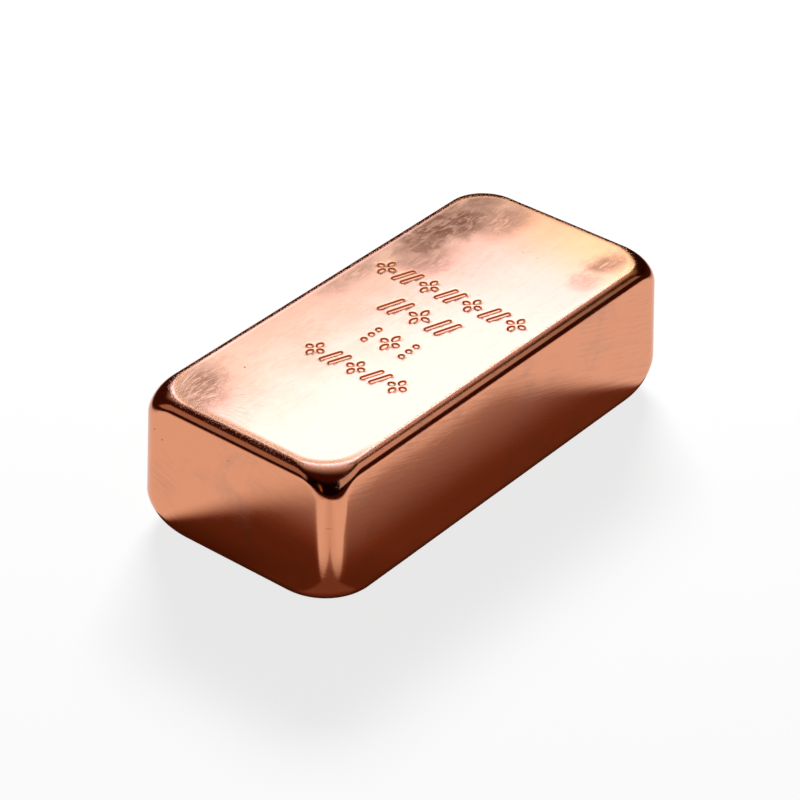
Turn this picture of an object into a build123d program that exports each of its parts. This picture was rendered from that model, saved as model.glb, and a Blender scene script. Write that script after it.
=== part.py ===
from build123d import *

import os
from math import cos, pi, sqrt, tan

# One-kilogram copper ingot, a single casting in one solid.
# It lies on its wider face, the foot, with the narrower face, the head, upwards.
# Millimetres. The origin is the middle of the foot, +X runs along the bar and +Z is up.

# Driving dimensions
foot_length = 94.8  # along X, where the sides would meet the floor if the foot were sharp
foot_width = 44.7  # along Y, measured the same way
height = 27.4  # from the foot to the head
side_lean = 1.65  # degrees that each side leans in towards the head
corner_radius = 4.0  # of the four upright corners, on the plain part of the wall
head_rounding = 2.25  # of the edge round the head, along the sides
head_corner_rounding = 4.75  # of the same edge over the upright corners
foot_rounding = 3.05  # of the edge round the foot, along the sides
foot_corner_rounding = 7.1  # of the same edge under the upright corners

SECTIONS = 48  # level sections that the skin passes through
DIAGONAL = sqrt(2)  # a corner's inset along the diagonal, for an inset of one on both sides
QUARTER_PULL = 4 / 3 * tan(pi / 8)  # share of the radius at which a cubic curve follows a quarter circle
CORNERS = ((1, 1), (-1, 1), (-1, -1), (1, -1))  # in order round the outline


def sag(climb, radius):
    """How far a quarter circle has curved in after this climb from where it leaves the wall."""
    share = min(max(climb / radius, 0), 1)
    return radius * (1 - sqrt(1 - share * share))


def section(z):
    """The inset of the sides and the radius of the corners at height z."""
    head_side = sag(z - (height - head_rounding), head_rounding)
    head_corner = sag(z - (height - head_corner_rounding), head_corner_rounding)
    foot_side = sag(foot_rounding - z, foot_rounding)
    foot_corner = sag(foot_corner_rounding - z, foot_corner_rounding)
    inset = z * tan(side_lean * pi / 180) + head_side + foot_side
    cut_back = head_corner + foot_corner - DIAGONAL * (head_side + foot_side)
    return inset, corner_radius + cut_back / (DIAGONAL - 1)


def level_heights():
    """Heights of the sections, evenly spaced along a side's profile from foot to head."""
    foot_arc = foot_rounding * pi / 2
    head_arc = head_rounding * pi / 2
    wall = height - foot_rounding - head_rounding
    path = foot_arc + wall + head_arc
    for number in range(SECTIONS):
        way = path * number / (SECTIONS - 1)
        if way < foot_arc:
            yield foot_rounding * (1 - cos(way / foot_rounding))
        elif way < foot_arc + wall:
            yield foot_rounding + way - foot_arc
        else:
            yield height - head_rounding * (1 - cos((path - way) / head_rounding))


def outline(half_length, half_width, radius):
    """Draws a rectangle with rounded corners, one cubic curve to a corner."""
    reach = radius * (1 - QUARTER_PULL)
    curves = []
    for sx, sy in CORNERS:
        on_end = (sx * half_length, sy * (half_width - radius))
        past_end = (sx * half_length, sy * (half_width - reach))
        past_side = (sx * (half_length - reach), sy * half_width)
        on_side = (sx * (half_length - radius), sy * half_width)
        curve = [on_end, past_end, past_side, on_side]
        curves.append(curve if sx == sy else curve[::-1])
    for curve, following in zip(curves, curves[1:] + curves[:1]):
        Bezier(*curve)
        Line(curve[-1], following[0])


with BuildPart() as ingot:
    for z in level_heights():
        inset, radius = section(z)
        with BuildSketch(Plane.XY.offset(z)):
            with BuildLine():
                outline(foot_length / 2 - inset, foot_width / 2 - inset, radius)
            make_face()
    loft()

ingot.part.label = "ingot"

os.makedirs("parts", exist_ok=True)
export_step(ingot.part, "parts/ingot.step")

box = ingot.part.bounding_box()
print("size", round(box.size.X, 2), round(box.size.Y, 2), round(box.size.Z, 2))
print("volume cm3", round(ingot.part.volume / 1000, 2))
print("valid", ingot.part.is_valid, "faces", len(ingot.part.faces()))
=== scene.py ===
import math
from collections import namedtuple

import bpy
import numpy as np
from mathutils import Matrix, Vector, noise
from mathutils.geometry import delaunay_2d_cdt


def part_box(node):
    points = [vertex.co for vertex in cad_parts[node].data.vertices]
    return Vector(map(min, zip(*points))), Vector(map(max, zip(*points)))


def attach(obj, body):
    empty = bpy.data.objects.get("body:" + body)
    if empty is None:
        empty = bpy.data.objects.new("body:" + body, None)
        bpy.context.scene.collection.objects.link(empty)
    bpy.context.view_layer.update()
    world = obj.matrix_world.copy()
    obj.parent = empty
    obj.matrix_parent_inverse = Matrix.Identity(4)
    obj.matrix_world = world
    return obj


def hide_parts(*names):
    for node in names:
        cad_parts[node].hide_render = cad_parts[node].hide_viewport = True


# A one-kilogram copper ingot with incised ornament on its head, lying on a plain floor.
# Lengths are millimetres where they don't say metres, and azimuths and elevations are degrees.

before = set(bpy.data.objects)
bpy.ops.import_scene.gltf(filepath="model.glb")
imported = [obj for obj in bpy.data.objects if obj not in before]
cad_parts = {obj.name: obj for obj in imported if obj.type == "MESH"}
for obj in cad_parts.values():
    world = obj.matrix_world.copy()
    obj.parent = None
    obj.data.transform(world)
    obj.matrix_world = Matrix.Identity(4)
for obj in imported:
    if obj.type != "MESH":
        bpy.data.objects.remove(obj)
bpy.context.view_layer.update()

MM = 0.001  # a millimetre in metres
LOW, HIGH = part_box("ingot")
CLEARANCE = 0.03  # the skin stays this far inside the solid

# The form, with the solid's own roundings
HEIGHT = (HIGH.z - LOW.z) / MM - CLEARANCE
SIDE_LEAN = math.radians(1.65)
CORNER_RADIUS = 4.0
HEAD_ROUNDING = 2.25
HEAD_CORNER_ROUNDING = 4.75
FOOT_ROUNDING = 3.05
FOOT_CORNER_ROUNDING = 7.1
WIDEST = FOOT_ROUNDING * math.tan(SIDE_LEAN)  # inset of the sides where the solid is widest
HALF_LENGTH = (HIGH.x - LOW.x) / 2 / MM + WIDEST - CLEARANCE
HALF_WIDTH = (HIGH.y - LOW.y) / 2 / MM + WIDEST - CLEARANCE
DIAGONAL = math.sqrt(2)
CORNERS = ((1, 1), (-1, 1), (-1, -1), (1, -1))  # in order round the outline

# How finely the skin is cut
ARC_STEPS = 26
WALL_STEPS = 16
CORNER_STEPS = 28
SIDE_SPACING = 1.0
HEAD_SPACING = 0.8
RIM_MARGIN = 0.5  # head points keep this share of their spacing from the edge of the flat head
GROOVE_MARGIN = 0.2  # and this share from a groove
FACE_MARGIN = 1e-4  # a face belongs to a groove when its middle is this far past the edge
SAME_POINT = 1e-6  # points closer than this are one
PETAL_POINTS = 14
CAP_POINTS = 9
BAR_POINTS = 10

# Hand-polished unevenness, always inwards
SWELL_DEPTH = 0.03
SWELL_LENGTH = 11.0
RIPPLE_DEPTH = 0.006
RIPPLE_LENGTH = 2.6
RIPPLE_START = Vector((31.0, 7.0, 13.0))
WORN_FROM = 0.4  # the foot stays flat up to here
WORN_RISE = 2.0  # and the unevenness is full this much higher

# Four centred rows of incised ornament on the head. They run across the bar, and their tops point along +X.
STROKE = 1.04
DOT = 1.35
DOT_SPACING = 0.36  # as a share of the row's height
SLANT = 0.16  # how far a bar's ends lean to the sides, as a share of the row's width
SLANT_SPACING = 0.24  # of each bar from the middle of its pair, likewise
PETAL_WIDTH = 1.38
PETAL_GAP = 0.42  # from the middle of a flower to its petals
GROOVE_SECTION = (  # offset from the stroke's edge, and depth
    (0.06, 0.0),
    (0.0, 0.012),
    (-0.06, 0.040),
    (-0.32, 0.162),
    (-0.37, 0.182),
    (-0.42, 0.186),
)
GROOVE_REACH = GROOVE_SECTION[0][0]
Row = namedtuple("Row", "foot middle height pitch width shapes")  # foot is along X and middle along Y
FLOWER, SLANTS, DOTS = "flower", "slants", "dots"
ROWS = (
    Row(8.85, -0.2, 4.85, 4.9, 4.2, (FLOWER, SLANTS) * 3 + (FLOWER,)),
    Row(-0.5, -0.3, 5.6, 5.3, 4.6, (SLANTS, FLOWER, SLANTS)),
    Row(-10.3, -1.7, 5.6, 4.2, 4.2, (DOTS, FLOWER, DOTS)),
    Row(-19.6, -2.1, 4.6, 4.6, 4.0, (FLOWER, SLANTS) * 2 + (FLOWER,)),
)

# The camera
CAMERA_AZIMUTH = -51.29
CAMERA_ELEVATION = 34.01
CAMERA_ROLL = math.radians(0.92)
CAMERA_DISTANCE = 591.5
CAMERA_AIM = Vector((-4.43, -1.65, 13.69))
CAMERA_CLIP = (0.05, 20.0)  # metres
SENSOR = 36.0
PHOTO_WIDTH = 800  # pixels
FOCAL_PIXELS = 3345.6


def sag(climb, radius):
    """How far a quarter circle has curved in after this climb from where it leaves the wall."""
    share = np.clip(climb / radius, 0, 1)
    return radius * (1 - np.sqrt(1 - share * share))


def section(z):
    """The inset of the sides and the radius of the corners at height z."""
    head_side = sag(z - (HEIGHT - HEAD_ROUNDING), HEAD_ROUNDING)
    head_corner = sag(z - (HEIGHT - HEAD_CORNER_ROUNDING), HEAD_CORNER_ROUNDING)
    foot_side = sag(FOOT_ROUNDING - z, FOOT_ROUNDING)
    foot_corner = sag(FOOT_CORNER_ROUNDING - z, FOOT_CORNER_ROUNDING)
    inset = z * math.tan(SIDE_LEAN) + head_side + foot_side
    cut_back = head_corner + foot_corner - DIAGONAL * (head_side + foot_side)
    return inset, CORNER_RADIUS + cut_back / (DIAGONAL - 1)


FLAT_INSET, FLAT_RADIUS = section(HEIGHT)
FLAT_HALF_LENGTH = HALF_LENGTH - FLAT_INSET
FLAT_HALF_WIDTH = HALF_WIDTH - FLAT_INSET


def ring_at(z):
    """Points round the bar at height z, the same number at every height."""
    inset, radius = section(z)
    a, b = HALF_LENGTH - inset, HALF_WIDTH - inset
    quarter = np.linspace(0, math.pi / 2, CORNER_STEPS)
    arcs = []
    for k, (sx, sy) in enumerate(CORNERS):
        turn = quarter + k * math.pi / 2
        arc_x = sx * (a - radius) + radius * np.cos(turn)
        arc_y = sy * (b - radius) + radius * np.sin(turn)
        arcs.append(np.c_[arc_x, arc_y])
    points = []
    for k, arc in enumerate(arcs):
        side = HALF_LENGTH if k % 2 == 0 else HALF_WIDTH
        share = np.linspace(0, 1, int(2 * side / SIDE_SPACING) + 1)[1:-1, None]
        following = arcs[(k + 1) % 4][0]
        points += [arc, arc[-1] * (1 - share) + following * share]
    flat = np.vstack(points)
    return np.c_[flat, np.full(len(flat), z)]


def levels():
    """Heights of the rings, close together where the edges round over."""
    quarter = 1 - np.cos(np.linspace(0, math.pi / 2, ARC_STEPS))
    foot = FOOT_CORNER_ROUNDING * quarter
    head = HEIGHT - HEAD_CORNER_ROUNDING * quarter[::-1]
    wall = np.linspace(foot[-1], head[0], WALL_STEPS + 2)[1:-1]
    return np.concatenate([foot, wall, head])


def from_flat_edge(x, y):
    """Distance from the edge of the flat head, negative inside it."""
    qx = np.abs(x) - (FLAT_HALF_LENGTH - FLAT_RADIUS)
    qy = np.abs(y) - (FLAT_HALF_WIDTH - FLAT_RADIUS)
    outside = np.hypot(np.maximum(qx, 0), np.maximum(qy, 0))
    return outside + np.minimum(np.maximum(qx, qy), 0) - FLAT_RADIUS


class Petal:
    """An incised petal, pointed at both ends, that lies along X or along Y."""

    def __init__(self, x, y, length, width, along_x):
        self.middle = np.array([x, y])
        self.radius = (length * length + width * width) / (4 * width)  # of the two arcs
        self.shift = self.radius - width / 2
        self.order = [0, 1] if along_x else [1, 0]

    def half_width(self, lengthwise, offset):
        return np.sqrt(np.maximum((self.radius + offset) ** 2 - lengthwise ** 2, 0)) - self.shift

    def loop(self, offset):
        reach = math.sqrt((self.radius + offset) ** 2 - self.shift ** 2)
        lengthwise = reach * np.cos(np.linspace(0, math.pi, PETAL_POINTS))
        width = self.half_width(lengthwise, offset)
        there = np.c_[lengthwise[:-1], width[:-1]]
        back = np.c_[lengthwise[:0:-1], -width[:0:-1]]
        ring = np.vstack([there, back])[:, self.order]
        return self.middle + (ring if self.order[0] == 0 else ring[::-1])

    def outline(self):
        return [self.loop(offset) for offset, depth in GROOVE_SECTION]

    def cuts(self, points, margin=0.0):
        """Which of the points lie on the groove, or within the margin round it."""
        place = (points - self.middle)[:, self.order]
        return np.abs(place[:, 1]) < self.half_width(place[:, 0], GROOVE_REACH + margin)


class Bar:
    """An incised straight stroke with round ends. A dot is one of no length."""

    def __init__(self, start, end, width=STROKE):
        self.start, self.end = np.array(start), np.array(end)
        self.radius = width / 2

    def loop(self, radius):
        line = self.end - self.start
        heading = math.atan2(line[1], line[0])
        caps = []
        for tip, turn in ((self.end, heading), (self.start, heading + math.pi)):
            angles = turn + np.linspace(-math.pi / 2, math.pi / 2, CAP_POINTS)
            caps.append(tip + radius * np.c_[np.cos(angles), np.sin(angles)])
        if not line.any():
            return np.vstack([caps[0][:-1], caps[1][:-1]])
        share = np.linspace(0, 1, BAR_POINTS + 2)[1:-1, None]
        there = caps[0][-1] * (1 - share) + caps[1][0] * share
        back = caps[1][-1] * (1 - share) + caps[0][0] * share
        return np.vstack([caps[0], there, caps[1], back])

    def outline(self):
        return [self.loop(self.radius + offset) for offset, depth in GROOVE_SECTION]

    def cuts(self, points, margin=0.0):
        """Which of the points lie on the groove, or within the margin round it."""
        line = self.end - self.start
        squared = max(line @ line, SAME_POINT ** 2)  # a dot's line has no length
        share = np.clip((points - self.start) @ line / squared, 0, 1)
        away = np.linalg.norm(points - self.start - share[:, None] * line, axis=1)
        return away < self.radius + GROOVE_REACH + margin


def flower(x, y, row):
    """Four petals, two along the bar and two across it."""
    petals = []
    for dx, dy in ((1, 0), (-1, 0), (0, 1), (0, -1)):
        reach = (row.height if dx else row.width) / 2
        length = reach - PETAL_GAP
        out = PETAL_GAP + length / 2
        petals.append(Petal(x + dx * out, y + dy * out, length, PETAL_WIDTH, dx != 0))
    return petals


def dots(x, y, row):
    """Three dots along the bar."""
    places = [(x + step * row.height * DOT_SPACING, y) for step in (-1, 0, 1)]
    return [Bar(place, place, DOT) for place in places]


def slants(x, y, row):
    """Two slanted bars side by side."""
    rise = row.height / 2 - STROKE / 2
    lean = row.width * SLANT
    middles = [y + side * row.width * SLANT_SPACING for side in (-1, 1)]
    return [Bar((x - rise, middle + lean), (x + rise, middle - lean)) for middle in middles]


def ornament():
    """The incised shapes, row by row."""
    motifs = {FLOWER: flower, DOTS: dots, SLANTS: slants}
    shapes = []
    for row in ROWS:
        for k, kind in enumerate(row.shapes):
            y = row.middle - (k - (len(row.shapes) - 1) / 2) * row.pitch
            shapes += motifs[kind](row.foot + row.height / 2, y, row)
    return shapes


def head_grid(shapes):
    """Even points over the flat head, clear of its edge and of the grooves."""
    steps = np.arange(-FLAT_HALF_LENGTH, FLAT_HALF_LENGTH, HEAD_SPACING)
    across = np.arange(-FLAT_HALF_WIDTH, FLAT_HALF_WIDTH, HEAD_SPACING)
    grid = np.stack(np.meshgrid(steps, across), -1).reshape(-1, 2)
    grid = grid[from_flat_edge(grid[:, 0], grid[:, 1]) < -RIM_MARGIN * HEAD_SPACING]
    for shape in shapes:
        grid = grid[~shape.cuts(grid, GROOVE_MARGIN * HEAD_SPACING)]
    return grid


def wall_faces(near, far):
    """Faces between two closed rings of the same number of points."""
    count = len(near)
    faces = []
    for i in range(count):
        j = (i + 1) % count
        faces.append((near[i], near[j], far[j], far[i]))
    return faces


def band_faces(rings, count):
    """Faces between closed rings that follow one another, each of count points."""
    faces = []
    for k in range(rings - 1):
        near = range(k * count, (k + 1) * count)
        far = range((k + 1) * count, (k + 2) * count)
        faces += wall_faces(near, far)
    return faces


def closed_loops(counts):
    """The edges of closed loops that follow one another, and the number of the first point of each."""
    edges, starts = [], []
    start = 0
    for count in counts:
        edges += [(start + i, start + (i + 1) % count) for i in range(count)]
        starts.append(start)
        start += count
    return edges, starts


def head_skin(rim, rim_start, free_start):
    """Faces over the flat head with its grooves, and the vertices they add."""
    shapes = ornament()
    loops = [shape.outline() for shape in shapes]
    borders = [rim] + [rings[0] for rings in loops]
    edges, starts = closed_loops([len(border) for border in borders])
    points = [Vector(p) for p in np.vstack(borders + [head_grid(shapes)]).tolist()]
    made_points, _, made_faces, origins, _, _ = delaunay_2d_cdt(points, edges, [], 0, SAME_POINT)
    flat = np.array([list(p) for p in made_points])
    middles = np.array([flat[list(face)].mean(0) for face in made_faces])
    keep = np.ones(len(middles), bool)
    for shape in shapes:
        keep &= ~shape.cuts(middles, -FACE_MARGIN)
    place, source, extra = {}, {}, []
    for k, origin in enumerate(origins):
        first = min(origin) if origin else -1
        if 0 <= first < len(rim):
            place[k] = rim_start + first
        else:
            place[k] = free_start + len(extra)
            extra.append((flat[k][0], flat[k][1], HEIGHT))
        for index in origin:
            source[index] = place[k]
    faces = [tuple(place[i] for i in face) for face, kept in zip(made_faces, keep) if kept]
    for rings, first in zip(loops, starts[1:]):
        count = len(rings[0])
        upper = [source[first + i] for i in range(count)]
        for ring, (_, depth) in zip(rings[1:], GROOVE_SECTION[1:]):
            lower = list(range(free_start + len(extra), free_start + len(extra) + count))
            extra += [(x, y, HEIGHT - depth) for x, y in ring]
            faces += wall_faces(upper, lower)
            upper = lower
        faces.append(tuple(upper))
    return faces, np.array(extra)


def worn(points, normals):
    """The skin after hand polishing: slight swells and ripples, pressed inwards."""
    moved = points.copy()
    for k, (point, normal) in enumerate(zip(points, normals)):
        rise = min(max((point[2] - WORN_FROM) / WORN_RISE, 0.0), 1.0)
        if rise == 0.0:
            continue
        at = Vector(point.tolist())
        depth = SWELL_DEPTH * (0.5 + 0.5 * noise.noise(at / SWELL_LENGTH))
        depth += RIPPLE_DEPTH * (0.5 + 0.5 * noise.noise(at / RIPPLE_LENGTH + RIPPLE_START))
        moved[k] -= normal * depth * rise
    return moved


def ingot_mesh():
    """The whole skin: rings from foot to head, the flat foot, and the head with its grooves."""
    rings = [ring_at(z) for z in levels()]
    count = len(rings[0])
    faces = band_faces(len(rings), count)
    faces.append(tuple(range(count))[::-1])
    top = (len(rings) - 1) * count
    head, extra = head_skin(rings[-1][:, :2], top, len(rings) * count)
    points = np.vstack(rings + [extra])
    mesh = bpy.data.meshes.new("ingot_visual")
    mesh.from_pydata(points.tolist(), [], faces + head)
    mesh.update()
    normals = np.array([list(v.normal) for v in mesh.vertices])
    mesh.vertices.foreach_set("co", (worn(points, normals) * MM).ravel())
    mesh.update()
    mesh.shade_smooth()
    return mesh


class Nodes:
    """A short way to add and join shader nodes."""

    def __init__(self, tree):
        self.tree = tree
        tree.nodes.clear()

    def add(self, kind, inputs=None, **settings):
        node = self.tree.nodes.new(kind)
        for name, value in settings.items():
            setattr(node, name, value)
        for name, value in (inputs or {}).items():
            socket = node.inputs[name]
            if isinstance(value, bpy.types.NodeSocket):
                self.tree.links.new(value, socket)
            else:
                socket.default_value = value
        return node

    def math(self, operation, a, b=0.0, c=0.0):
        return self.add("ShaderNodeMath", {0: a, 1: b, 2: c}, operation=operation).outputs[0]

    def vector(self, operation, a, b=(0.0, 0.0, 0.0)):
        node = self.add("ShaderNodeVectorMath", {0: a, 1: b}, operation=operation)
        single = operation in ("LENGTH", "DISTANCE", "DOT_PRODUCT")
        return node.outputs["Value" if single else "Vector"]

    def scaled(self, vector, scale):
        return self.add("ShaderNodeVectorMath", {0: vector, "Scale": scale}, operation="SCALE").outputs[0]

    def joined(self, x, y):
        return self.add("ShaderNodeCombineXYZ", {0: x, 1: y}).outputs[0]

    def axes(self, place):
        return self.add("ShaderNodeSeparateXYZ", {0: place}).outputs

    def step(self, value, start, end, low=0.0, high=1.0):
        """Smoothly from low to high as value goes from start to end."""
        inputs = {"Value": value, "From Min": start, "From Max": end, "To Min": low, "To Max": high}
        return self.add("ShaderNodeMapRange", inputs, interpolation_type="SMOOTHSTEP").outputs[0]

    def product(self, *values):
        total = values[0]
        for value in values[1:]:
            total = self.math("MULTIPLY", total, value)
        return total

    def largest(self, *values):
        total = values[0]
        for value in values[1:]:
            total = self.math("MAXIMUM", total, value)
        return total

    def total(self, start, marks, amounts):
        """start plus the amounts of the marks that they name."""
        for name, amount in amounts.items():
            start = self.math("MULTIPLY_ADD", marks[name], amount, start)
        return start

    def noise(self, place, scale, detail, roughness=0.5, distortion=0.0):
        inputs = {"Vector": place, "Scale": scale, "Detail": detail}
        inputs.update({"Roughness": roughness, "Distortion": distortion})
        return self.add("ShaderNodeTexNoise", inputs).outputs[0]

    def between(self, share, first, second):
        """A single value from first to second as the share goes from none to full."""
        return self.math("MULTIPLY_ADD", self.math("SUBTRACT", second, first), share, first)

    def blend(self, share, first, second):
        """A colour from first to second."""
        return self.add("ShaderNodeMix", {0: share, 6: first, 7: second}, data_type="RGBA").outputs[2]

    def ramp(self, value, stops):
        """A colour that follows value through the given stops."""
        node = self.add("ShaderNodeValToRGB", {0: value})
        elements = node.color_ramp.elements
        while len(elements) < len(stops):
            elements.new(0.5)
        for element, (position, colour) in zip(elements, stops):
            element.position, element.color = position, colour
        return node.outputs[0]

    def millimetres(self):
        """The place on the object, in millimetres."""
        place = self.add("ShaderNodeTexCoord").outputs["Object"]
        return self.vector("MULTIPLY", place, (1 / MM, 1 / MM, 1 / MM))


def new_material(name):
    material = bpy.data.materials.new(name)
    material.use_nodes = True
    return material, Nodes(material.node_tree)


# Colours of the metal
WALL_COPPER = (0.80, 0.325, 0.178, 1)
# a paler copy of the copper for the head: painted highlight, the washed-out look of the bright panel
# mirrored there
HEAD_HIGHLIGHT_COPPER = (0.68, 0.355, 0.312, 1)
WARM_COPPER = (0.66, 0.325, 0.175, 1)  # towards the far end of the head
HAZY_COPPER = (0.42, 0.240, 0.172, 1)
TAN_COPPER = (0.33, 0.185, 0.125, 1)  # where a stain is thin
STAINED_COPPER = (0.13, 0.048, 0.026, 1)
BORDER_COPPER = (0.21, 0.120, 0.077, 1)  # along the head's left edge
GRAIN_COPPER = (0.85, 0.42, 0.22, 1)  # worn specks along the edge of the head
# painted shade on the rim along the -Y side, which dims the highlight mirrored there towards the +X end
RIM_SHADE_COPPER = (0.34, 0.125, 0.05, 1)
SMUDGED_COPPER = (0.50, 0.270, 0.188, 1)
DULL_COPPER = (0.50, 0.235, 0.150, 1)
GROOVE_SHADE_COPPER = (0.60, 0.155, 0.042, 1)  # painted shade on the groove walls that face along -Y
GROOVE_HIGHLIGHT_COPPER = (1.0, 0.54, 0.24, 1)  # painted highlight on the ones that face the other way
PIT = (0.03, 0.012, 0.008, 1)

# Noise patterns. The scale counts waves to a millimetre, where the place isn't stretched.
Pattern = namedtuple("Pattern", "scale detail roughness distortion")
CLOUD_PATTERN = Pattern(0.14, 5.0, 0.6, 0.6)
WISP_PATTERN = Pattern(0.5, 7.0, 0.68, 1.2)
FAN_PATTERN = Pattern(2.0, 3.0, 0.6, 0.0)
BRUSHED_PATTERN = Pattern(1.6, 4.0, 0.6, 0.3)
SMUDGE_PATTERN = Pattern(0.11, 4.0, 0.6, 0.4)
GRAIN_PATTERN = Pattern(3.0, 2.0, 0.6, 0.4)
PATCH_PATTERN = Pattern(0.4, 2.0, 0.5, 0.0)
STREAK_PATTERN = Pattern(1.0, 4.0, 0.62, 0.15)
DULL_PATTERN = Pattern(0.07, 3.0, 0.55, 0.0)
WISP_STRETCH = (0.5, 1.5, 1.0)
BRUSHED_STRETCH = (0.10, 0.10, 1.4)

# Where a mark begins and where it is full. Two more numbers are its shares at those two places.
# OUT is measured outwards from the edge of the flat head. LEVEL and STREAKS are values of a noise.
HEAD_Z = (HEIGHT - 0.45, HEIGHT - 0.12)
INSIDE_OUT = (0.15, -0.7)
LEFT_END_X = (-30.0, -42.0)
WARM_X = (24.0, 43.0)
HAZE_Y = (-9.0, 21.0)
HAZE_WARP = 16.0  # how far the clouds and wisps move it
STAIN_FADE = (1.4, 0.35)  # from the middle of a blot, as a share of its size
STAIN_WARP = 1.9  # how much the clouds and wisps move it
STAIN_STREAKS = (0.38, 0.58, 0.45, 1.0)
STAIN_TAN = (0.0, 0.85, 0.0, 0.8)
STAIN_SCRAPED = -0.85  # what the corner lines take off a stain
GRAIN_OUT = (-0.1, 0.3)
GRAIN_END_OUT = (2.0, 1.2)
GRAIN_LEFT_SHIFT = 0.6  # the grain starts this much further in at the left end
GRAIN_Z = (HEIGHT - 1.4, HEIGHT - 0.8)
GRAIN_LEVEL = 0.575  # what the noise has to pass to make a speck
GRAIN_LEVEL_OUT = 0.075  # and how much more for each millimetre outwards
GRAIN_LEVEL_PATCH = -0.12  # and in a patch
GRAIN_SOFTNESS = (-0.01, 0.04)
BORDER_OUT = (-1.1, -0.1)
BORDER_END_OUT = (0.6, 0.2)
# Where the painted shade on the rim along the -Y side lies
RIM_SHADE_X = (-30.0, 46.0)
RIM_SHADE_Y = (-12.0, -16.0)
RIM_SHADE_OUT = (0.75, 1.2)
RIM_SHADE_Z = (HEIGHT - 1.35, HEIGHT - 1.1)
SMUDGE_LEVEL = (0.5, 0.68)
DULL_STREAKS = (0.42, 0.72)
DULL_LEVEL = (0.40, 0.58)
DULL_X = (-46.0, -38.0, 0.3, 1.0)
STREAK_X = (-45.0, -38.0, 0.3, 1.0)
SCUFF_REACH = (5.0, 1.5)
SCUFF_STREAKS = (0.42, 0.56)
GROOVE_TILT = (0.997, 0.985)  # the upward part of the normal
GROOVE_OUT = (-1.0, -1.5)
LIT_GROOVE_TILT = (-0.05, 0.25)  # its part along Y, past which the walls take the painted highlight

# How much of its colour each mark lays on
BORDER_SHARE = 0.9
SMUDGE_SHARE = 0.3
DULL_SHARE = 0.28
SCUFF_SHARE = 0.18
GROOVE_SHARE = 0.95
PIT_SHARE = 0.85

# What the marks add to the roughness, and to the height of the surface
POLISH = 0.10
ROUGHER = {"hazy": 0.06, "stain": 0.12, "smudge": 0.05, "brushed": 0.03, "dull": 0.07}
ROUGHER_LINES = {"specks": 0.30, "fine": 0.06}
GROOVE_ROUGHER = 0.24
LIT_GROOVE_ROUGHER = 0.22
RAISED = {
    "fine": -0.0014,
    "corner_lines": -0.004,
    "specks": -0.006,
    "brushed": 0.002,
    "wall_streaks": 0.009,
}

# Single marks
Blot = namedtuple("Blot", "x y along across strength")
BLOTS = (
    Blot(29, 15.5, 15, 6, 1.0),  # the cloud near the back left corner
    Blot(37, 9, 7, 5, 0.5),
    Blot(19, 11, 8, 5, 0.5),
    Blot(6, 18, 9, 3.5, 0.35),
    Blot(-39.5, 14.5, 8, 6.5, 0.7),  # the scrubbed left corner
    Blot(38, -15, 5, 3.2, 0.6),  # the smudge at the right corner
    Blot(31, -15.5, 4, 3, 0.3),
)
SPOTS = (  # small dark pits, with their radius
    (-29.7, 12.4, HEIGHT, 0.22),
    (31.4, -1.0, HEIGHT, 0.16),
    (31.4, -4.2, HEIGHT, 0.12),
    (-46.8, 18.0, 20.9, 0.17),
    (-46.8, 16.2, 19.5, 0.15),
    (-46.8, 1.2, 21.9, 0.16),
    (-24.8, -22.0, 12.8, 0.14),
)
SPOT_FADE = (1.2, 0.6)  # shares of the radius
NICK = (-46.3, -20.6, 17.5)  # a short level scratch on the front corner
NICK_STRETCH = (1.0, 1.0, 10.0)
NICK_FADE = (1.0, 0.5, 0.0, 0.6)
SCUFF = (-47.0, 16.0, 12.0)  # a dull place low on the left side

# Scratches
Scratches = namedtuple("Scratches", "turn stretch scale low high")
SCRATCHES = (
    Scratches(0.05, 22.0, 2.6, 0.60, 0.72),
    Scratches(-0.30, 12.0, 3.0, 0.62, 0.74),
    Scratches(0.95, 12.0, 2.8, 0.65, 0.77),
)
SCRATCH_DETAIL = 2.0
FAN_MIDDLE = (-46.5, 11.0)  # the scrubbing at the left corner spreads out from here
FAN_BEND = 0.05
FAN_SPREAD = 17.0  # of the pattern for each radian round the middle
FAN_STRETCH = 0.12  # and for each millimetre outwards
FAN_LEVEL = (0.5, 0.62)
FAN_REACH = (19.0, 8.0)
FAN_START = (0.5, 2.0)
STROKE_FALL = math.radians(18.0)  # slope of the brush strokes on the walls
STROKE_STRETCH = 0.09  # of the pattern for each millimetre along the strokes
STROKE_SPACING = 1.7  # and across them


def edge_distance(n, x, y):
    """Distance outwards from the edge of the flat head, as nodes."""
    qx = n.math("SUBTRACT", n.math("ABSOLUTE", x), FLAT_HALF_LENGTH - FLAT_RADIUS)
    qy = n.math("SUBTRACT", n.math("ABSOLUTE", y), FLAT_HALF_WIDTH - FLAT_RADIUS)
    ox, oy = n.math("MAXIMUM", qx, 0.0), n.math("MAXIMUM", qy, 0.0)
    outside = n.math("SQRT", n.math("ADD", n.math("MULTIPLY", ox, ox), n.math("MULTIPLY", oy, oy)))
    inside = n.math("MINIMUM", n.math("MAXIMUM", qx, qy), 0.0)
    return n.math("SUBTRACT", n.math("ADD", outside, inside), FLAT_RADIUS)


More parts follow.
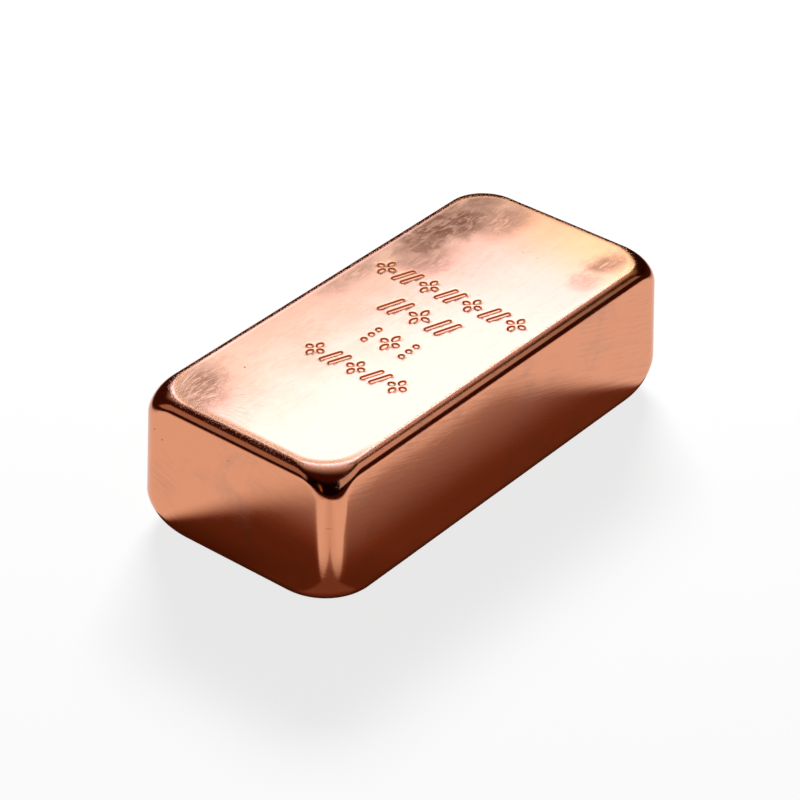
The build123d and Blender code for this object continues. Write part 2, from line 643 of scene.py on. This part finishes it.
def haze(n, place, y):
    """How hazy the head is towards its left side, and how stained it is in a few blots."""
    cloud = n.noise(place, *CLOUD_PATTERN)
    wisps = n.noise(n.vector("MULTIPLY", place, WISP_STRETCH), *WISP_PATTERN)
    warp = n.math("SUBTRACT", n.math("ADD", cloud, wisps), 1.0)
    hazy = n.step(n.math("MULTIPLY_ADD", warp, HAZE_WARP, y), *HAZE_Y)
    stain = 0.0
    for blot in BLOTS:
        off = n.vector("SUBTRACT", place, (blot.x, blot.y, 0))
        off = n.vector("MULTIPLY", off, (1 / blot.along, 1 / blot.across, 0))
        far = n.math("MULTIPLY_ADD", warp, STAIN_WARP, n.vector("LENGTH", off))
        stain = n.math("MAXIMUM", n.step(far, *STAIN_FADE, 0.0, blot.strength), stain)
    return hazy, n.product(stain, n.step(wisps, *STAIN_STREAKS))


def fan(n, x, y):
    """Fine lines that spread out from the scrubbed corner."""
    dx = n.math("SUBTRACT", x, FAN_MIDDLE[0])
    dy = n.math("SUBTRACT", y, FAN_MIDDLE[1])
    turn = n.math("ARCTAN2", dy, dx)
    reach = n.math("SQRT", n.math("ADD", n.math("MULTIPLY", dx, dx), n.math("MULTIPLY", dy, dy)))
    bend = n.math("MULTIPLY_ADD", reach, FAN_BEND, turn)
    drawn = n.joined(n.math("MULTIPLY", bend, FAN_SPREAD), n.math("MULTIPLY", reach, FAN_STRETCH))
    lines = n.step(n.noise(drawn, *FAN_PATTERN), *FAN_LEVEL)
    return n.product(lines, n.step(reach, *FAN_REACH), n.step(reach, *FAN_START))


def scratches(n, place, kind):
    """Fine lines that run one way."""
    turned = n.add("ShaderNodeVectorRotate", {"Vector": place, "Angle": kind.turn}, rotation_type="Z_AXIS")
    drawn = n.vector("MULTIPLY", turned.outputs[0], (1 / kind.stretch, 1.0, 1.0))
    return n.step(n.noise(drawn, kind.scale, SCRATCH_DETAIL), kind.low, kind.high)


def brush_streaks(n, x, y, z):
    """Streaks along the brush strokes on the walls, which fall slightly towards the back."""
    round_wall = n.math("SUBTRACT", x, y)
    level, fall = math.cos(STROKE_FALL), math.sin(STROKE_FALL)
    along = n.math("SUBTRACT", n.math("MULTIPLY", round_wall, level), n.math("MULTIPLY", z, fall))
    across = n.math("ADD", n.math("MULTIPLY", round_wall, fall), n.math("MULTIPLY", z, level))
    drawn = n.joined(n.math("MULTIPLY", along, STROKE_STRETCH), n.math("MULTIPLY", across, STROKE_SPACING))
    return n.noise(drawn, *STREAK_PATTERN)


def pits(n, place):
    """Small dark pits and the nick on the front corner."""
    total = 0.0
    for x, y, z, radius in SPOTS:
        away = n.vector("DISTANCE", place, (x, y, z))
        total = n.math("MAXIMUM", n.step(away, *(radius * share for share in SPOT_FADE)), total)
    nick = n.vector("LENGTH", n.vector("MULTIPLY", n.vector("SUBTRACT", place, NICK), NICK_STRETCH))
    return n.math("MAXIMUM", n.step(nick, *NICK_FADE), total)


def head_marks(n, place, x, y, out, head):
    """Haze, stains and corner lines on the flat head."""
    hazy, stain = haze(n, place, y)
    inside = n.step(out, *INSIDE_OUT)
    corner_lines = n.product(fan(n, x, y), head)
    left_over = n.math("MULTIPLY_ADD", corner_lines, STAIN_SCRAPED, 1.0)
    return {
        "hazy": n.product(hazy, head, inside),
        "stain": n.product(stain, head, inside, left_over),
        "corner_lines": corner_lines,
        "warm": n.product(head, n.step(x, *WARM_X)),
    }


def rim_marks(n, place, x, y, z, out):
    """Worn specks, a border and painted shade along the edge of the head; the painted shade dims the rim on
    the -Y side towards the +X end.
    """
    grain = n.noise(place, *GRAIN_PATTERN)
    patch = n.noise(place, *PATCH_PATTERN)
    level = n.math("MULTIPLY_ADD", patch, GRAIN_LEVEL_PATCH, GRAIN_LEVEL)
    level = n.math("MULTIPLY_ADD", n.math("MAXIMUM", out, 0.0), GRAIN_LEVEL_OUT, level)
    specks = n.step(n.math("SUBTRACT", grain, level), *GRAIN_SOFTNESS)
    left_end = n.step(x, *LEFT_END_X)
    rim = n.step(n.math("MULTIPLY_ADD", left_end, GRAIN_LEFT_SHIFT, out), *GRAIN_OUT)
    rim = n.product(rim, n.step(out, *GRAIN_END_OUT), n.step(z, *GRAIN_Z))
    rim_shade = n.product(n.step(x, *RIM_SHADE_X), n.step(out, *RIM_SHADE_OUT), n.step(y, *RIM_SHADE_Y))
    return {
        "specks": n.product(specks, rim),
        "border": n.product(n.step(out, *BORDER_OUT), n.step(out, *BORDER_END_OUT), left_end),
        "rim_shade": n.product(rim_shade, n.step(z, *RIM_SHADE_Z)),
    }


def wall_marks(n, place, x, y, z, head):
    """Smudges, brushed streaks and dull places on the walls."""
    wall = n.math("SUBTRACT", 1.0, head)
    streaks = brush_streaks(n, x, y, z)
    patches = n.step(n.noise(place, *DULL_PATTERN), *DULL_LEVEL)
    near_scuff = n.step(n.vector("DISTANCE", place, SCUFF), *SCUFF_REACH)
    return {
        "smudge": n.product(n.step(n.noise(place, *SMUDGE_PATTERN), *SMUDGE_LEVEL), wall),
        "dull": n.product(n.step(streaks, *DULL_STREAKS), patches, wall, n.step(x, *DULL_X)),
        "scuff": n.product(near_scuff, n.step(streaks, *SCUFF_STREAKS)),
        "wall_streaks": n.product(streaks, wall, n.step(x, *STREAK_X)),
    }


def groove_marks(n, out, head):
    """The sloping walls of the ornament, and which of them face +Y and take the painted highlight instead
    of the painted shade.
    """
    normal = n.axes(n.add("ShaderNodeTexCoord").outputs["Normal"])
    return {
        "groove": n.product(n.step(normal[2], *GROOVE_TILT), n.step(out, *GROOVE_OUT), head),
        "lit_groove_side": n.step(normal[1], *LIT_GROOVE_TILT),
    }


def all_marks(n):
    """Every mark on the metal by name, each a share from none to full."""
    place = n.millimetres()
    x, y, z = n.axes(place)
    out = edge_distance(n, x, y)
    head = n.step(z, *HEAD_Z)
    marks = {"head": head, "pits": pits(n, place)}
    marks["fine"] = n.largest(*(scratches(n, place, kind) for kind in SCRATCHES))
    marks["brushed"] = n.noise(n.vector("MULTIPLY", place, BRUSHED_STRETCH), *BRUSHED_PATTERN)
    marks.update(head_marks(n, place, x, y, out, head))
    marks.update(rim_marks(n, place, x, y, z, out))
    marks.update(wall_marks(n, place, x, y, z, head))
    marks.update(groove_marks(n, out, head))
    return marks


def metal_colour(n, marks):
    """The colour of the metal, with every mark laid over the last in turn; some marks are painted highlight
    and painted shade.
    """
    groove_painted_light = n.blend(marks["lit_groove_side"], GROOVE_SHADE_COPPER, GROOVE_HIGHLIGHT_COPPER)
    coats = (
        (marks["warm"], WARM_COPPER),
        (marks["hazy"], HAZY_COPPER),
        (n.step(marks["stain"], *STAIN_TAN), TAN_COPPER),
        (marks["stain"], STAINED_COPPER),
        (n.product(marks["border"], BORDER_SHARE), BORDER_COPPER),
        (marks["specks"], GRAIN_COPPER),
        # painted shade that dims the rim's mirrored highlight
        (marks["rim_shade"], RIM_SHADE_COPPER),
        (n.product(marks["smudge"], SMUDGE_SHARE), SMUDGED_COPPER),
        (n.product(marks["dull"], DULL_SHARE), DULL_COPPER),
        (n.product(marks["scuff"], SCUFF_SHARE), DULL_COPPER),
        # painted shade and painted highlight on the groove walls, by which way they face
        (n.product(marks["groove"], GROOVE_SHARE), groove_painted_light),
        (n.product(marks["pits"], PIT_SHARE), PIT),
    )
    # the head takes the paler copy of the copper, a painted highlight
    colour = n.blend(marks["head"], WALL_COPPER, HEAD_HIGHLIGHT_COPPER)
    for share, coat in coats:
        colour = n.blend(share, colour, coat)
    return colour


def metal_roughness(n, marks):
    """Polished, and rougher under the marks."""
    groove_rougher = n.math("MULTIPLY_ADD", marks["lit_groove_side"], LIT_GROOVE_ROUGHER, GROOVE_ROUGHER)
    rough = n.total(POLISH, marks, ROUGHER)
    rough = n.math("MULTIPLY_ADD", marks["groove"], groove_rougher, rough)
    return n.total(rough, marks, ROUGHER_LINES)


def copper():
    """The metal of the ingot. Its look comes from what it mirrors, and from the painted highlight and
    painted shade in its colour.
    """
    material, n = new_material("copper")
    marks = all_marks(n)
    relief = n.total(0.0, marks, RAISED)
    bump = n.add("ShaderNodeBump", {"Strength": 1.0, "Distance": MM, "Height": relief})
    inputs = {"Base Color": metal_colour(n, marks), "Metallic": 1.0}
    inputs.update({"Roughness": metal_roughness(n, marks), "Normal": bump.outputs[0]})
    shader = n.add("ShaderNodeBsdfPrincipled", inputs)
    n.add("ShaderNodeOutputMaterial", {"Surface": shader.outputs[0]})
    return material


# The floor
FLOOR_SIZE = 3.0  # metres, from the middle to each side
FLOOR_DROP = 0.05  # it lies this far below the foot
FLOOR_COLOUR = (0.9, 0.9, 0.9, 1)
FLOOR_SEEN_WHITE = 0.8  # share of plain white in the floor as the camera sees it
FLOOR_LIT = 0.92  # light of the open floor, as the metal mirrors it
TABLE_REACH = (205.0, 95.0)  # the mirrored floor is dark at the first distance and lit at the second
RIGHT_REACH = (78.0, 40.0)  # and nearer on the right side
FLOOR_TONES = (  # the colour that each light comes out as
    (0.0, (0.04, 0.008, 0.002, 1)),
    (0.07, (0.07, 0.020, 0.007, 1)),
    (0.17, (0.175, 0.062, 0.030, 1)),
    (0.36, (0.35, 0.25, 0.225, 1)),
    (0.94, (0.94, 0.94, 0.94, 1)),
)

# The bar's shade on the floor to its left and right. Each edge has a place at the foot, and drifts and
# softens by so much for each millimetre out.
Edge = namedtuple("Edge", "place drift soft")
Shade = namedtuple("Shade", "low high reach")
LEFT_SHADE = Shade(Edge(-28.0, 0.76, 0.14), Edge(21.0, -0.53, 0.27), (42.0, 28.0))
RIGHT_SHADE = Shade(Edge(-55.0, 0.95, 0.16), Edge(46.5, -0.8, 0.36), (22.9, 21.9))
SHADE_START = (-3.0, -1.0)
SHADE_SOFT = 0.6  # of the edges at the foot
LEFT_LIGHT = (12.0, 40.0, 0.115, 0.8)  # between two distances out, and the light there
LEFT_FOOT_SHARE = (1.0, 10.0, 0.6, 1.0)
RIGHT_LIGHT = (6.0, 22.0, 0.145, 0.40)

# The shades off the front corner
CORNER = (-43.4, -18.4, 0)
CORNER_AHEAD = (-0.75, -0.66, 0)  # away from the bar
CORNER_ASIDE = (-0.66, 0.75, 0)
NEAR_REACH = (23.0, 11.0)
NEAR_LIGHT = 0.11
BROAD_ASIDE = (20.0, 0.0)
BROAD_AHEAD = (4.0, 12.0)
BROAD_SHARE = 0.22
BROAD_LIGHT = 0.3
WEDGE_WIDTH = (29.0, 10.0, 0.0, 8.0)
WEDGE_EDGE = (1.6, -1.6)
WEDGE_START = (0.0, 1.0)
WEDGE_END = (30.0, 16.0)
WEDGE_LIGHT = 0.2

# The painted contact shadow where the bar touches the floor, in the floor as the metal mirrors it
CONTACT_RADIUS = 9.0
CONTACT_REACH = (CONTACT_RADIUS + 2.5, CONTACT_RADIUS - 2.0)
CONTACT_LIGHT = 0.03

# The room, as the metal mirrors it
DOME_RADIUS = 1.6  # metres
DOME_ROWS = 24
DOME_COLUMNS = 72
DOME_DARK = (0.04, 0.008, 0.002, 1)
DOME_BLACK = (0.004, 0.001, 0.0005, 1)
FRONT_AZIMUTH = 300.0  # the dome is darkest round here
FRONT_REACH = (75.0, 55.0)
FRONT_RISE = (60.0, 40.0)
Panel = namedtuple("Panel", "colour azimuth reach side_soft low low_soft high high_soft")
PANELS = (
    Panel((0.36, 0.28, 0.245), 227, 25.5, 1.5, 10.5, 2.5, 39, 2.5),  # the left window
    Panel((0.62, 0.60, 0.60), 21.5, 35, 2, 16, 2.5, 50, 2),  # the right window
    Panel((0.5, 0.22, 0.1), 286, 2.5, 1.5, 8, 3, 32, 5),  # a narrow strip in front
    Panel((0.42, 0.34, 0.27), 160, 8, 14, 34, 4, 62, 4),  # a glow between the softbox and the left window
    Panel((0.66, 0.50, 0.40), 90, 16, 16, 34, 4, 58, 4),  # a glow between the right window and the softbox
    Panel((0.2, 0.45, 0.8), 336, 1.6, 1.0, 27, 1.0, 29, 1.0),  # a small blue point
)
SOFTBOX_AZIMUTH = 128.0  # the bright panel behind the bar
SOFTBOX_REACH = 22.0
SOFTBOX_SOFT = 3.0
SOFTBOX_LEVELS = (  # elevation and light
    (26.5, 0.0),
    (28.0, 1.1),
    (30.9, 1.75),
    (31.5, 2.4),
    (32.4, 2.65),
    (34.0, 2.9),
    (50.0, 3.1),
    (60.0, 1.0),
    (66.0, 0.1),
    (70.0, 0.0),
)
SOFTBOX_SPAN = (20.0, 75.0)  # elevations that hold all of the levels
SOFTBOX_FULL = 4.0  # a light above all of them
CEILING = (1.0, 0.95, 0.88)
CEILING_OVER = (103.0, 50.0)  # degrees over from the softbox's side of the horizon
CEILING_RISE = (58.0, 66.0)

# The light on the real floor
FILL = 0.06
KEY_AZIMUTH = 129.0
KEY_ELEVATION = 36.0
KEY_DISTANCE = 1.0  # metres, as are its width and height
KEY_WIDTH = 0.44
KEY_HEIGHT = 0.22
KEY_POWER = 17.5


def shade_beside(n, along, out, shade):
    """The bar's shade on one side of it. It starts at the foot, narrows outwards and softens as it goes."""
    inside = []
    for edge, sign in ((shade.low, 1.0), (shade.high, -1.0)):
        border = n.math("MULTIPLY_ADD", out, edge.drift, edge.place)
        width = n.math("MULTIPLY_ADD", n.math("ABSOLUTE", out), edge.soft, SHADE_SOFT)
        off = n.math("DIVIDE", n.math("MULTIPLY", n.math("SUBTRACT", along, border), sign), width)
        inside.append(n.step(off, -1.0, 1.0))
    return n.product(*inside, n.step(out, *shade.reach), n.step(out, *SHADE_START))


def shades_off_corner(n, place):
    """A broad shade, one round the corner and a wedge, each with its share and its light."""
    off = n.vector("SUBTRACT", place, CORNER)
    ahead = n.vector("DOT_PRODUCT", off, CORNER_AHEAD)
    aside = n.math("ABSOLUTE", n.vector("DOT_PRODUCT", off, CORNER_ASIDE))
    broad = n.product(n.step(aside, *BROAD_ASIDE), n.step(ahead, *BROAD_AHEAD))
    near = n.step(n.vector("LENGTH", n.vector("MULTIPLY", off, (1, 1, 0))), *NEAR_REACH)
    wedge = n.step(n.math("SUBTRACT", aside, n.step(ahead, *WEDGE_WIDTH)), *WEDGE_EDGE)
    wedge = n.product(wedge, n.step(ahead, *WEDGE_END), n.step(ahead, *WEDGE_START))
    return [(n.product(broad, BROAD_SHARE), BROAD_LIGHT), (near, NEAR_LIGHT), (wedge, WEDGE_LIGHT)]


def painted_contact_shadow(n, x, y):
    """A painted contact shadow: the dark band on the mirrored floor under the rounded foot."""
    past_end = n.math("SUBTRACT", n.math("ABSOLUTE", x), HALF_LENGTH - CONTACT_RADIUS)
    past_side = n.math("SUBTRACT", n.math("ABSOLUTE", y), HALF_WIDTH - CONTACT_RADIUS)
    beside = n.joined(n.math("MAXIMUM", past_end, 0.0), n.math("MAXIMUM", past_side, 0.0))
    return n.step(n.vector("LENGTH", beside), *CONTACT_REACH)


def mirrored_floor(n):
    """The floor as the metal mirrors it: open and pale, with the bar's shade on the two near sides."""
    place = n.millimetres()
    x, y, z = n.axes(place)
    out_left = n.math("SUBTRACT", n.math("MULTIPLY", x, -1.0), HALF_LENGTH)
    out_right = n.math("SUBTRACT", n.math("MULTIPLY", y, -1.0), HALF_WIDTH)
    left_light = n.product(n.step(out_left, *LEFT_LIGHT), n.step(out_left, *LEFT_FOOT_SHARE))
    shades = [
        (shade_beside(n, y, out_left, LEFT_SHADE), left_light),
        (shade_beside(n, x, out_right, RIGHT_SHADE), n.step(out_right, *RIGHT_LIGHT)),
    ]
    shades += shades_off_corner(n, place)
    shades.append((painted_contact_shadow(n, x, y), CONTACT_LIGHT))
    light = FLOOR_LIT
    for share, shaded in shades:
        light = n.between(share, light, shaded)
    far = n.vector("LENGTH", n.vector("MULTIPLY", place, (1, 1, 0)))
    light = n.product(light, n.step(far, *TABLE_REACH), n.step(out_right, *RIGHT_REACH))
    return n.ramp(light, FLOOR_TONES)


def floor_material():
    """Plain and nearly white for the camera, and with the bar's shade for the metal."""
    material, n = new_material("studio_floor")
    rays = n.add("ShaderNodeLightPath").outputs
    plain = n.add("ShaderNodeBsdfDiffuse", {"Color": FLOOR_COLOUR})
    white = n.add("ShaderNodeEmission", {"Color": (1, 1, 1, 1), "Strength": 1.0})
    mirror = n.add("ShaderNodeEmission", {"Color": mirrored_floor(n), "Strength": 1.0})
    share = n.math("MULTIPLY", rays["Is Camera Ray"], FLOOR_SEEN_WHITE)
    seen = n.add("ShaderNodeMixShader", {0: share, 1: plain.outputs[0], 2: white.outputs[0]})
    mirrored = n.math("MAXIMUM", rays["Is Glossy Ray"], rays["Is Transmission Ray"])
    mix = n.add("ShaderNodeMixShader", {0: mirrored, 1: seen.outputs[0], 2: mirror.outputs[0]})
    n.add("ShaderNodeOutputMaterial", {"Surface": mix.outputs[0]})
    return material


def degrees_off(n, azimuth, middle):
    """How far round an azimuth is from the middle one, either way."""
    return n.math("ABSOLUTE", n.math("WRAP", n.math("SUBTRACT", azimuth, middle), 180.0, -180.0))


def panel_share(n, azimuth, elevation, panel):
    """Where a panel shines, with soft edges."""
    off = degrees_off(n, azimuth, float(panel.azimuth))
    side = n.step(off, panel.reach + panel.side_soft, panel.reach - panel.side_soft)
    rise = n.step(elevation, panel.low - panel.low_soft, panel.low + panel.low_soft)
    fall = n.step(elevation, panel.high + panel.high_soft, panel.high - panel.high_soft)
    return n.product(side, rise, fall)


def softbox(n, azimuth, elevation):
    """The light of the bright panel behind the bar."""
    low, high = SOFTBOX_SPAN
    stops = []
    for degrees, level in SOFTBOX_LEVELS:
        share = level / SOFTBOX_FULL
        stops.append(((degrees - low) / (high - low), (share, share, share, 1)))
    rise = n.math("DIVIDE", n.math("SUBTRACT", elevation, low), high - low)
    off = degrees_off(n, azimuth, SOFTBOX_AZIMUTH)
    across = n.step(off, SOFTBOX_REACH + SOFTBOX_SOFT, SOFTBOX_REACH - SOFTBOX_SOFT)
    return n.scaled(n.ramp(rise, stops), n.math("MULTIPLY", across, SOFTBOX_FULL))


def ceiling(n, x, y, z, elevation):
    """The light of the ceiling, which fades as it comes over from behind."""
    back = toward(SOFTBOX_AZIMUTH, 0.0)
    behind = n.math("ADD", n.math("MULTIPLY", x, back.x), n.math("MULTIPLY", y, back.y))
    over = n.math("DEGREES", n.math("ARCTAN2", z, behind))
    return n.scaled(CEILING, n.product(n.step(over, *CEILING_OVER), n.step(elevation, *CEILING_RISE)))


def dome_material():
    """The light of the room in each direction."""
    material, n = new_material("studio_dome")
    x, y, z = n.axes(n.add("ShaderNodeTexCoord").outputs["Object"])
    level = n.math("SQRT", n.math("ADD", n.math("MULTIPLY", x, x), n.math("MULTIPLY", y, y)))
    elevation = n.math("DEGREES", n.math("ARCTAN2", z, level))
    azimuth = n.math("DEGREES", n.math("ARCTAN2", x, n.math("MULTIPLY", y, -1.0)))
    front = n.step(degrees_off(n, azimuth, FRONT_AZIMUTH), *FRONT_REACH)
    light = n.blend(n.product(front, n.step(elevation, *FRONT_RISE)), DOME_DARK, DOME_BLACK)
    for panel in PANELS:
        share = panel_share(n, azimuth, elevation, panel)
        light = n.vector("ADD", n.scaled(panel.colour, share), light)
    light = n.vector("ADD", softbox(n, azimuth, elevation), light)
    light = n.vector("ADD", ceiling(n, x, y, z, elevation), light)
    glow = n.add("ShaderNodeEmission", {"Color": light, "Strength": 1.0})
    n.add("ShaderNodeOutputMaterial", {"Surface": glow.outputs[0]})
    return material


def stage_mesh(name, points, faces, material):
    """Adds a mesh that belongs to the stage and not to the ingot."""
    mesh = bpy.data.meshes.new(name)
    mesh.from_pydata(points, [], faces)
    mesh.materials.append(material)
    staged = bpy.data.objects.new(name, mesh)
    bpy.context.scene.collection.objects.link(staged)
    return staged


def add_floor():
    """A plain floor, a hair below the foot."""
    s = FLOOR_SIZE
    corners = [(-s, -s, 0), (s, -s, 0), (s, s, 0), (-s, s, 0)]
    floor = stage_mesh("studio_floor", corners, [(0, 1, 2, 3)], floor_material())
    floor.location.z = -FLOOR_DROP * MM


def add_dome():
    """The room, seen only in the metal: a bright panel behind and dimmer windows at the sides."""
    points = []
    for i in range(DOME_ROWS + 1):
        rise = math.pi / 2 * i / DOME_ROWS
        for j in range(DOME_COLUMNS):
            turn = 2 * math.pi * j / DOME_COLUMNS
            x = math.cos(rise) * math.cos(turn)
            y = math.cos(rise) * math.sin(turn)
            points.append(Vector((x, y, math.sin(rise))) * DOME_RADIUS)
    dome = stage_mesh("studio_dome", points, band_faces(DOME_ROWS + 1, DOME_COLUMNS), dome_material())
    dome.visible_camera = False
    dome.visible_diffuse = False
    dome.visible_transmission = False
    dome.visible_shadow = False


def add_world():
    """White where the camera sees it, straight or mirrored, and a faint fill light elsewhere."""
    world = bpy.data.worlds.new("studio")
    bpy.context.scene.world = world
    world.use_nodes = True
    n = Nodes(world.node_tree)
    rays = n.add("ShaderNodeLightPath").outputs
    seen = n.largest(rays["Is Camera Ray"], rays["Is Glossy Ray"], rays["Is Transmission Ray"])
    strength = n.math("MULTIPLY_ADD", seen, 1.0 - FILL, FILL)
    light = n.add("ShaderNodeBackground", {"Color": (1, 1, 1, 1), "Strength": strength})
    n.add("ShaderNodeOutputWorld", {"Surface": light.outputs[0]})


def toward(azimuth, elevation):
    """The direction at an azimuth, counted from -Y towards +X, and an elevation."""
    a, e = math.radians(azimuth), math.radians(elevation)
    return Vector((math.sin(a) * math.cos(e), -math.cos(a) * math.cos(e), math.sin(e)))


def facing(place, across, away):
    """The placing of a lamp or camera that looks back along away."""
    turn = Matrix((across, away.cross(across), away)).transposed().to_4x4()
    return Matrix.Translation(place) @ turn


def level_across(away):
    """The level direction at right angles to away."""
    return Vector((0, 0, 1)).cross(away).normalized()


def add_key():
    """The lamp that lights the floor and makes the shadow. The metal doesn't mirror it."""
    light = bpy.data.lights.new("key", "AREA")
    light.shape = "RECTANGLE"
    light.size, light.size_y = KEY_WIDTH, KEY_HEIGHT
    light.energy = KEY_POWER
    lamp = bpy.data.objects.new("key", light)
    away = toward(KEY_AZIMUTH, KEY_ELEVATION)
    lamp.matrix_world = facing(away * KEY_DISTANCE, level_across(away), away)
    lamp.visible_glossy = False
    bpy.context.scene.collection.objects.link(lamp)


def add_camera():
    """The camera of the photograph."""
    camera = bpy.data.objects.new("camera", bpy.data.cameras.new("camera"))
    bpy.context.scene.collection.objects.link(camera)
    back = toward(CAMERA_AZIMUTH, CAMERA_ELEVATION)
    level = level_across(back)
    across = level * math.cos(CAMERA_ROLL) + back.cross(level) * math.sin(CAMERA_ROLL)
    camera.matrix_world = facing((CAMERA_AIM + back * CAMERA_DISTANCE) * MM, across, back)
    camera.data.sensor_width = SENSOR
    camera.data.lens = FOCAL_PIXELS / PHOTO_WIDTH * SENSOR
    camera.data.clip_start, camera.data.clip_end = CAMERA_CLIP
    bpy.context.scene.camera = camera


def add_ingot():
    """The dressed ingot, which takes the place of the plain solid."""
    piece = bpy.data.objects.new("ingot_visual", ingot_mesh())
    bpy.context.scene.collection.objects.link(piece)
    piece.data.materials.append(copper())
    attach(piece, "root")
    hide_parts("ingot")


add_ingot()
add_floor()
add_dome()
add_world()
add_key()
add_camera()
bpy.context.scene.view_settings.view_transform = "Standard"
